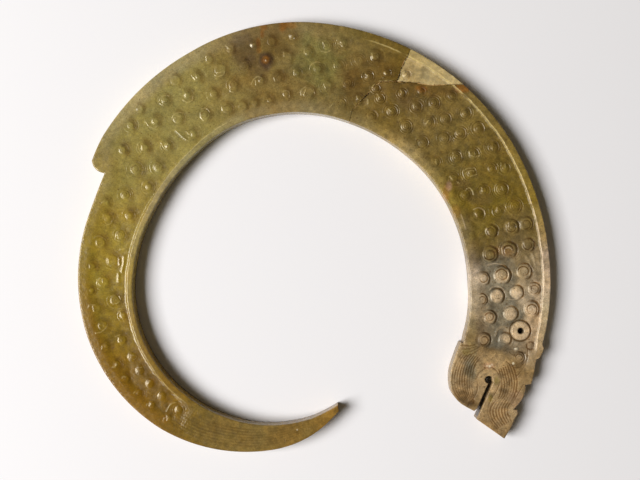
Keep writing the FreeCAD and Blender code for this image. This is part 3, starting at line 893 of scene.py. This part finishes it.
def face_mesh(node, loops, points, side):
    """Points, triangles and loop corners of a flat face inside fine loops."""
    rows = [rows_beside(closed(loop), EDGE_ROWS, LATTICE_SPACING[side]) for loop in loops]
    points = thinned(np.vstack(rows + [points]), THIN_CELL[side])
    points = points[(points > loops[0].min(axis=0)).all(axis=1)]
    points = points[(points < loops[0].max(axis=0)).all(axis=1)]
    points = points[inside(points, outlines[node][0])]
    plot = Plot(points)
    near = np.min([plot.distances(closed(loop), OUTLINE_SPACING) for loop in loops], axis=0)
    border = np.vstack(loops)
    starts = np.cumsum([0] + [len(loop) for loop in loops])
    sides = [list(range(first, last)) for first, last in zip(starts, starts[1:])]
    turned = [side if area(loop) > 0 else side[::-1] for side, loop in zip(sides, loops)]
    every = [Vector(point) for point in np.vstack([border, points[near > BORDER_GAP]])]
    corners, _, faces, before, _, owners = delaunay_2d_cdt(every, [], turned, 1, 1e-5, True)
    places = np.array([corner[:] for corner in corners])
    triangles = np.array([face for face, owner in zip(faces, owners) if owner == [0]])
    now = {old: new for new, olds in enumerate(before) for old in olds}
    rings = [np.array([now[index] for index in side]) for side in sides]
    return places, triangles, rings


def fragment_outlines(node):
    """Fine loops of a fragment, and which of their points lie on a break."""
    others = [loop for other in FRAGMENTS if other != node for loop in outlines[other]]
    fine = [finely(loop, on_break(loop, others), OUTLINE_SPACING) for loop in outlines[node]]
    return [points for points, _ in fine], [flags for _, flags in fine]


def dressed_face(node, loops, broken, points, side):
    """Corners in space, triangles, loop corners and colour traits of one carved face."""
    flat, triangles, rings = face_mesh(node, loops, points, side)
    plot = Plot(flat)
    edge = np.min([plot.distances(closed(loop), EDGE_FALL_WIDTH, flags)
                   for loop, flags in zip(loops, broken)], axis=0)
    height, traits = relief(plot, edge, surfaces[node], side)
    level = THICKNESS + height if side > 0 else -height
    return np.column_stack([flat, level]), triangles[:, ::side], rings, traits


def fragment_mesh(node, loops, broken):
    """Corners, faces and traits of a whole fragment: two faces and the walls between."""
    front, front_faces, front_rings, front_traits = dressed_face(
        node, loops, broken, front_points, 1)
    back, back_faces, back_rings, back_traits = dressed_face(node, loops, broken, back_points, -1)
    corners = [front, back]
    faces = [front_faces, back_faces + len(front)]
    count = len(front) + len(back)
    for top_ring, bottom_ring in zip(front_rings, back_rings):
        rows = [top_ring]
        top, bottom = front[top_ring], back[bottom_ring]
        for row in range(1, WALL_ROWS):
            corners.append(top + (bottom - top) * row / WALL_ROWS)
            rows.append(count + np.arange(len(top)))
            count += len(top)
        rows.append(bottom_ring + len(front))
        for upper, lower in zip(rows, rows[1:]):
            after_upper, after_lower = np.roll(upper, -1), np.roll(lower, -1)
            faces.append(np.column_stack([upper, lower, after_lower]))
            faces.append(np.column_stack([upper, after_lower, after_upper]))
    corners = np.vstack(corners)
    carved = np.vstack([front_traits, back_traits])
    plain = np.tile(WALL_TRAITS, (len(corners) - len(carved), 1))
    return corners, np.vstack(faces), np.vstack([carved, plain])


# Colours of the stone, from 0 to 255 as the photograph shows them

COLOURS_BY_BEARING = (
    (-50, 133, 101, 57), (-36, 177, 148, 109), (-27, 147, 119, 79), (-10, 195, 171, 136),
    (2, 128, 107, 66), (15, 121, 99, 31), (45, 128, 106, 53), (60, 121, 97, 40), (85, 138, 118, 68),
    (105, 138, 114, 59), (125, 157, 142, 78), (150, 155, 138, 70), (170, 156, 132, 50),
    (185, 156, 131, 42), (200, 142, 113, 31), (220, 132, 97, 17), (235, 122, 95, 34),
    (255, 137, 110, 55), (280, 160, 118, 50),
)

# How much lighter than the field the inner and outer rims are, then the same in blue
RIM_SHADES_BY_BEARING = (
    (-45, 1.02, 0.94, 1.02, 0.88), (-12, 1.10, 1.10, 1.16, 1.00), (0, 1.22, 1.90, 1.55, 2.30),
    (25, 1.60, 1.42, 2.10, 1.60), (45, 1.98, 1.03, 3.00, 1.05), (75, 1.28, 0.84, 1.55, 0.68),
    (105, 1.30, 1.02, 1.85, 1.35), (135, 0.97, 1.18, 1.42, 1.92), (165, 1.20, 0.88, 2.65, 1.00),
    (200, 1.18, 0.66, 2.75, 0.16), (235, 1.05, 0.95, 1.12, 0.75), (280, 1.0, 1.0, 1.0, 1.0),
)
STAIN = (78, 58, 44)
RUST = (142, 92, 32)
AMBER = (140, 100, 22)
BROWN = (98, 70, 28)
GREEN = (122, 120, 58)
GREY = (122, 112, 90)
TAN = (192, 160, 122)
PINK = (190, 148, 118)
# Pale colours of the painted highlights on the glint strokes and lit step lips, and the paler one
# used on the neck
PAINTED_GLINT = (206, 184, 120)
PAINTED_GLINT_NECK = (226, 200, 164)
PALE = (196, 172, 118)
CREAM = (226, 212, 178)
OCHRE = (150, 126, 62)

# Stains: x and y of the middle, half width and half height in pixels, colour, strength
STAINS = (
    (243, 49, 18, 24, STAIN, 0.55), (258, 64, 14, 14, STAIN, 0.45), (276, 40, 18, 20, BROWN, 0.45),
    (263.5, 27, 5, 5, RUST, 0.75), (262, 34, 2.5, 5, RUST, 0.75), (258.5, 42, 2.5, 5, RUST, 0.6),
    (259, 50, 3, 4, RUST, 0.5), (284, 25.5, 5, 6, RUST, 0.8), (292, 25, 7, 5, RUST, 0.5),
    (266, 60, 9, 9, STAIN, 0.8), (265.5, 59.5, 4.6, 4.6, RUST, 0.85), (277.6, 76, 8, 8, BROWN, 0.4),
    (320, 62, 28, 34, GREEN, 0.45), (352, 84, 12, 24, BROWN, 0.6), (378, 78, 22, 26, BROWN, 0.45),
    (405, 92, 16, 16, BROWN, 0.5), (438, 91, 24, 7, BROWN, 0.55), (421, 88, 7, 4, RUST, 0.75),
    (462, 88, 9, 5, RUST, 0.85), (414, 103, 26, 10, STAIN, 0.25), (465, 185, 9, 8, STAIN, 0.3),
    (480, 199, 13, 9, STAIN, 0.3), (449, 186, 4, 8, PINK, 0.45), (446, 193, 4, 12, RUST, 0.45),
    (456, 212, 6, 8, RUST, 0.3), (503, 252, 11, 8, RUST, 0.4), (535, 330, 10, 50, TAN, 0.4),
    (472, 340, 6, 30, OCHRE, 0.25), (470, 372, 9, 14, GREY, 0.85), (497, 344, 11, 6, GREY, 0.8),
    (489, 366, 7, 4, PINK, 0.6), (516, 400, 9, 12, PINK, 0.3), (516, 370, 9, 9, BROWN, 0.15),
    (506, 383, 7, 12, BROWN, 0.15), (462, 397, 6, 7, BROWN, 0.6), (472, 404, 8, 4, BROWN, 0.6),
    (490.5, 398, 3, 5, OCHRE, 0.8), (496.5, 381, 4, 5, OCHRE, 0.6), (466, 352, 4, 4, OCHRE, 0.6),
    (165, 419.5, 4, 4, RUST, 0.4),
)

# Spots of pale deposit: middle and radius in pixels
SPOTS = (
    (489.5, 366.3, 1.5), (492.2, 364.6, 1.0), (487.4, 366.2, 0.9), (517.2, 349.0, 1.3),
    (513.3, 363.4, 1.3), (290.0, 36.0, 1.5), (294.0, 38.0, 0.8), (251.0, 45.0, 1.3),
    (265.5, 60.4, 0.7), (136.8, 109.4, 1.2), (297.0, 430.0, 0.9),
)

# Grey of the neck's floor, as a stain
NECK_GREY = (500, 300, 28, 56, 0.9)

# Colours that change round the ring, as the ramps above
MOTTLING = (0.15, (20, -5, 0.14), (110, 80, 0.12), (16, 26, 0.10), (50, 62, -0.10),
            (216, 230, 0.07))
BOSS_LIGHT = (0.06, (-32, -24, 0.10), (-3, 9, -0.10))
AMBER_SHARE = (0.0, (176, 196, 0.60), (226, 238, -0.60))
# How pale the painted highlights are, and where the neck's paler highlight colour takes over
PAINTED_GLINT_SHARE = (0.42, (116, 156, -0.147))
NECK_GLINT_SHARE = (0.0, (24, 8, 1.0))
# How strong the painted shade in the hollows is round the ring; strongest where it darkens the
# moats into shaded crescents
PAINTED_HOLLOW_SHADE = (1.0, (14, -6, 0.9), (64, 84, 2.0), (216, 226, -1.1))
# How much painted shade darkens the head's walls
HEAD_WALL_SHADE = (0.0, (-16, -24, 0.25))

# How the colours drift and how ragged and soft the edges of stains, spots and openings are
BEARING_DRIFT = 6
HUE_DRIFT = np.array((0.04, -0.01, -0.10))
INNER_RED = 0.95
# How much of each channel the painted shade in the hollows takes away
PAINTED_SHADE_LOSS = np.array((0.62, 0.74, 0.88))
STAIN_RAGGEDNESS = 0.35
STAIN_ENDS = (1.15, 0.45)
SPOT_STRENGTH = 0.9
SPOT_RAGGEDNESS = 0.3
SPOT_ENDS = (1.2, 0.5)
# Painted shade in the openings: where it fades round the hole, how high on a wall it reaches, and
# how much darker
HOLE_ENDS = (1.15, 0.9)
WALL_SHARE = 0.45
OPENING_SHADE = 0.8


def linear(colour):
    """A display colour from 0 to 255 as linear light."""
    share = np.asarray(colour, float) / 255
    return np.where(share <= 0.04045, share / 12.92, ((share + 0.055) / 1.055) ** 2.4)


def blend(first, second, share):
    """Colours mixed, with a share of the second at each point."""
    share = share[:, None]
    return first * (1 - share) + second * share


def stain_share(points, px, py, across, up, strength, seed):
    """How strong a soft, ragged stain is at each point."""
    away = (points - spot(px, py)) / (np.array((across, up)) * PIXEL)
    reach = np.hypot(*away.T) + STAIN_RAGGEDNESS * clouds(points, 4.0, seed)
    return strength * smoothstep(*STAIN_ENDS, reach)


def palette(bearing):
    """Colours of the stone round the ring."""
    stops, *channels = zip(*COLOURS_BY_BEARING)
    return np.column_stack([np.interp(bearing, stops, row) for row in linear(channels)])


def rim_shades(bearing, outer, rim):
    """How much lighter or darker a point on a rim is, in red, green and blue."""
    stops, *shades = zip(*RIM_SHADES_BY_BEARING)
    inner, other, inner_blue, other_blue = (np.interp(bearing, stops, row) for row in shades)
    light, blue = np.where(outer, other, inner), np.where(outer, other_blue, inner_blue)
    red = np.where(outer, light, INNER_RED * light)
    return 1 + (np.column_stack([red, light, blue]) - 1) * rim[:, None]


def painted_light_and_shade(colours, points, bearing, hollow, glint_marks):
    """Colours with painted highlights on the glint strokes and lit step lips, and painted shade in
    the hollows: the engraved lines and the moats on the bosses' shaded side.
    """
    glint_colour = blend(linear(PAINTED_GLINT), linear(PAINTED_GLINT_NECK), round_ring(NECK_GLINT_SHARE, bearing))
    colours = blend(colours, glint_colour, np.clip(round_ring(PAINTED_GLINT_SHARE, bearing) * glint_marks, 0, 0.8))
    hollow_shade = hollow * round_ring(PAINTED_HOLLOW_SHADE, bearing) * (0.75 + 0.25 * clouds(points, 2.5, 63))
    return colours * (1 - np.clip(hollow_shade, 0, 1)[:, None] * PAINTED_SHADE_LOSS)


def spotted(colours, places, points):
    """Colours with the spots of pale deposit."""
    ragged = SPOT_RAGGEDNESS * grain(points, 0.4, 65)
    for px, py, radius in SPOTS:
        away = np.hypot(*(places - spot(px, py)).T) / (radius * PIXEL)
        share = SPOT_STRENGTH * smoothstep(*SPOT_ENDS, away + ragged)
        colours = blend(colours, linear(CREAM), share)
    return colours


def painted_wall_shade(corners, bearing):
    """Painted shade: the share of colour kept on the walls of the head, the mouth and the hole."""
    places = corners[:, :2]
    wall = np.abs(corners[:, 2] - THICKNESS / 2) < WALL_SHARE * THICKNESS
    mouth = wall & (distance_to(places, np.array([spot(*end) for end in SLIT_PIXELS])) < SLIT_REACH)
    hole = smoothstep(*HOLE_ENDS, np.hypot(*places.T))
    kept = 1 - round_ring(HEAD_WALL_SHADE, bearing) * wall
    return kept * (1 - OPENING_SHADE * np.maximum(hole, mouth))


def stone_colours(node, corners, traits):
    """Linear colours of a fragment's corners."""
    hollow, raised, rim, glint_marks = traits.T
    places = corners[:, :2]
    points = places + corners[:, 2:3] - 0.75 * THICKNESS
    bearing, reach = polar(places)
    outer = outward_of_middle(bearing, reach) > 0
    loose = bearing + BEARING_DRIFT * clouds(points, 9.0, 60)
    colours = palette(loose)
    if node == "outer_edge_wedge":
        colours[:] = linear(PALE)
    else:
        for index, (*where, colour, strength) in enumerate(STAINS):
            share = stain_share(places, *where, strength, 100 + 7 * index)
            colours = blend(colours, linear(colour), share)
    floor = (1 - rim) * (1 - np.clip(1.6 * raised, 0, 1))
    colours = blend(colours, linear(GREY), stain_share(places, *NECK_GREY, 66) * floor)
    shade = 1 + 0.15 * clouds(points, 6.0, 61)
    shade += round_ring(MOTTLING, loose) * clouds(points, 1.5, 62)
    shade += round_ring(BOSS_LIGHT, loose) * raised - 0.05 * floor
    colours *= 1 + clouds(points, 4.5, 67)[:, None] * HUE_DRIFT
    colours *= shade[:, None] * rim_shades(bearing, outer, rim)
    colours = blend(colours, linear(AMBER), round_ring(AMBER_SHARE, bearing) * outer * rim)
    # Painted highlights on the glint strokes and step lips, and painted shade in the hollows
    colours = painted_light_and_shade(colours, points, bearing, hollow, glint_marks)
    # Spots of pale deposit, then painted shade on the walls and in the openings
    colours = spotted(colours, places, points) * painted_wall_shade(corners, bearing)[:, None]
    return np.clip(colours, 0.003, 0.9)


# Materials

# Noise in the materials: features per metre, then detail and roughness where not plain
MOTTLES = (900.0,)
FINE_GRAINS = (2900.0,)
SPECKS = (1700.0, 2.0, 0.4)
POLISH = (700.0,)
PITTING = (2600.0, 6.0, 0.65)
BLOTCHES = (1500.0,)
FILM_GRAINS = (3000.0,)

# Each fragment's jade: gloss, glow and its depth, grain, roughness and where specks start
JADES = {
    "body_and_tail": (0.22, 0.25, 0.0014, 0.25, 0.00004, 0.68),
    "head_and_neck": (0.34, 0.12, 0.0008, 0.28, 0.00008, 0.645),
    "outer_edge_wedge": (0.28, 0.25, 0.0014, 0.12, 0.00006, 0.68),
}


def fill(tree, node, **inputs):
    """Gives sockets, named with _ for blanks, a value or a link to another socket."""
    for name, value in inputs.items():
        socket = node.inputs[name.replace("_", " ")]
        if isinstance(value, bpy.types.NodeSocket):
            tree.links.new(value, socket)
        else:
            socket.default_value = value
    return node


def noise(tree, scale, detail=4.0, roughness=0.6):
    """Noise over the object's own coordinates, features per metre."""
    if "places" not in tree.nodes:
        tree.nodes.new("ShaderNodeTexCoord").name = "places"
    made = fill(tree, tree.nodes.new("ShaderNodeTexNoise"), Scale=scale, Detail=detail,
                Roughness=roughness, Vector=tree.nodes["places"].outputs["Object"])
    return made.outputs["Fac"]


def varied(tree, features, low, high, ends=(0.3, 0.7)):
    """Noise, given by its scale and more, taken from between its ends to a range."""
    made = fill(tree, tree.nodes.new("ShaderNodeMapRange"), Value=noise(tree, *features),
                From_Min=ends[0], From_Max=ends[1], To_Min=low, To_Max=high)
    return made.outputs["Result"]


def bumpy(tree, features, depth):
    """A surface roughened by noise, so many metres deep."""
    made = fill(tree, tree.nodes.new("ShaderNodeBump"), Strength=0.6, Distance=depth,
                Height=noise(tree, *features))
    return made.outputs["Normal"]


def mixed(tree, factor, first, second):
    """Two colours mixed, with sockets or plain values."""
    made = tree.nodes.new("ShaderNodeMix")
    made.data_type = "RGBA"
    made.clamp_result = True
    return fill(tree, made, Factor=factor, A=first, B=second).outputs["Result"]


def new_material(name):
    """A material with its tree and its surface shader."""
    material = bpy.data.materials.new(name)
    material.use_nodes = True
    return material, material.node_tree, material.node_tree.nodes["Principled BSDF"]


def rgba(colour):
    """A display colour from 0 to 255 as a linear socket value."""
    return (*linear(colour), 1.0)


def stone(name, gloss, glow, depth, grainy, rough, specked):
    """Jade: coloured by its corners, mottled, specked and softly polished."""
    material, tree, shader = new_material(name)
    base = tree.nodes.new("ShaderNodeAttribute")
    base.attribute_name = "stone_colour"
    product = tree.nodes.new("ShaderNodeMath")
    product.operation = "MULTIPLY"
    tree.links.new(varied(tree, MOTTLES, 0.82, 1.18), product.inputs[0])
    tree.links.new(varied(tree, FINE_GRAINS, 1 - grainy, 1 + grainy), product.inputs[1])
    scaled = tree.nodes.new("ShaderNodeVectorMath")
    scaled.operation = "SCALE"
    fill(tree, scaled, Vector=base.outputs["Color"], Scale=product.outputs[0])
    specks = varied(tree, SPECKS, 0.0, 0.7, (specked, specked + 0.06))
    fill(tree, shader, Base_Color=mixed(tree, specks, scaled.outputs["Vector"], rgba(BROWN)),
         IOR=1.58, Specular_Tint=rgba((255, 246, 222)), Subsurface_Weight=glow,
         Subsurface_Radius=(1.0, 0.80, 0.40), Subsurface_Scale=depth,
         Roughness=varied(tree, POLISH, gloss - 0.05, gloss + 0.06),
         Normal=bumpy(tree, PITTING, rough))
    return material


def old_adhesive():
    """The aged film in the breaks: amber, uneven and a little glossy."""
    material, tree, shader = new_material("aged_adhesive")
    blotches = varied(tree, BLOTCHES, 0.0, 1.0, (0.35, 0.65))
    fill(tree, shader, Roughness=0.35, Normal=bumpy(tree, FILM_GRAINS, 0.00008),
         Base_Color=mixed(tree, blotches, rgba((172, 118, 56)), rgba((222, 184, 122))))
    return material


# Putting the pieces together

front_points = carved_points(1)
back_points = carved_points(-1)
stones = {node: stone(SLOTS[node], *values) for node, values in JADES.items()}


def placed(name, data):
    """A new object in the scene."""
    made = bpy.data.objects.new(name, data)
    bpy.context.scene.collection.objects.link(made)
    return made


def build_fragment(node):
    """The carved, coloured mesh of one fragment in place of its CAD node."""
    corners, faces, traits = fragment_mesh(node, *fragment_outlines(node))
    mesh = bpy.data.meshes.new("stone_" + node)
    mesh.from_pydata((corners * MM).tolist(), [], faces.tolist())
    colours = np.column_stack([stone_colours(node, corners, traits), np.ones(len(corners))])
    layer = mesh.color_attributes.new("stone_colour", "FLOAT_COLOR", "POINT")
    layer.data.foreach_set("color", colours.ravel())
    mesh.shade_smooth()
    mesh.set_sharp_from_angle(angle=math.radians(60))
    mesh.materials.append(stones[node])
    piece = placed("stone_" + node, mesh)
    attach(piece, "root")
    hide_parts(node)
    return piece


for node in FRAGMENTS:
    build_fragment(node)
adhesive = old_adhesive()
for node in FILMS:
    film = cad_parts[node]
    film.data.materials.clear()
    film.data.materials.append(adhesive)


# The table, the light and the camera, in metres

FLOOR_HALF_SIZE = 1.5
WINDOW_PLACE = (-0.86, -0.15, 1.0)
WINDOW_SIZE = 0.72
WINDOW_WATTS = 22.0
WINDOW_COLOUR = (0.985, 0.985, 1.0)
ROOM_COLOUR = (1.0, 0.86, 0.60, 1)
ROOM_STRENGTH = 0.065


def paper():
    """The white sheet it lies on: its shadow stays, its colour is set for the camera."""
    material, tree, shader = new_material("white_sheet")
    fill(tree, shader, Base_Color=rgba((249, 247, 247)), Roughness=0.9, Specular_IOR_Level=0.1)
    return material


def add_floor():
    """A wide sheet under the pendant."""
    half = FLOOR_HALF_SIZE
    mesh = bpy.data.meshes.new("floor")
    mesh.from_pydata([(-half, -half, 0), (half, -half, 0), (half, half, 0), (-half, half, 0)],
                     [], [(0, 1, 2, 3)])
    mesh.materials.append(paper())
    floor = placed("floor", mesh)


def add_light():
    """A square window, high at the left, aimed at the middle of the photograph."""
    lamp = bpy.data.lights.new("window", "AREA")
    lamp.size = WINDOW_SIZE
    lamp.energy = WINDOW_WATTS
    lamp.color = WINDOW_COLOUR
    aim = Vector((*spot(*CAMERA_PIXEL) * MM, 0))
    holder = placed("window", lamp)
    holder.location = aim + Vector(WINDOW_PLACE)
    holder.rotation_euler = (-Vector(WINDOW_PLACE)).to_track_quat("-Z", "Y").to_euler()


def add_camera():
    """Straight above the middle of the photograph, which is square to the pendant."""
    camera = bpy.data.cameras.new("camera")
    camera.lens = camera.sensor_width * CAMERA_HEIGHT / IMAGE_WIDTH
    holder = placed("camera", camera)
    holder.location = (*spot(*CAMERA_PIXEL) * MM, (THICKNESS + CAMERA_HEIGHT) * MM)
    bpy.context.scene.camera = holder


def add_room():
    """The dim, warm light that comes from all round."""
    world = bpy.data.worlds.new("room")
    bpy.context.scene.world = world
    world.use_nodes = True
    fill(world.node_tree, world.node_tree.nodes["Background"], Color=ROOM_COLOUR,
         Strength=ROOM_STRENGTH)


add_floor()
add_light()
add_camera()
add_room()
bpy.context.scene.view_settings.view_transform = "Standard"
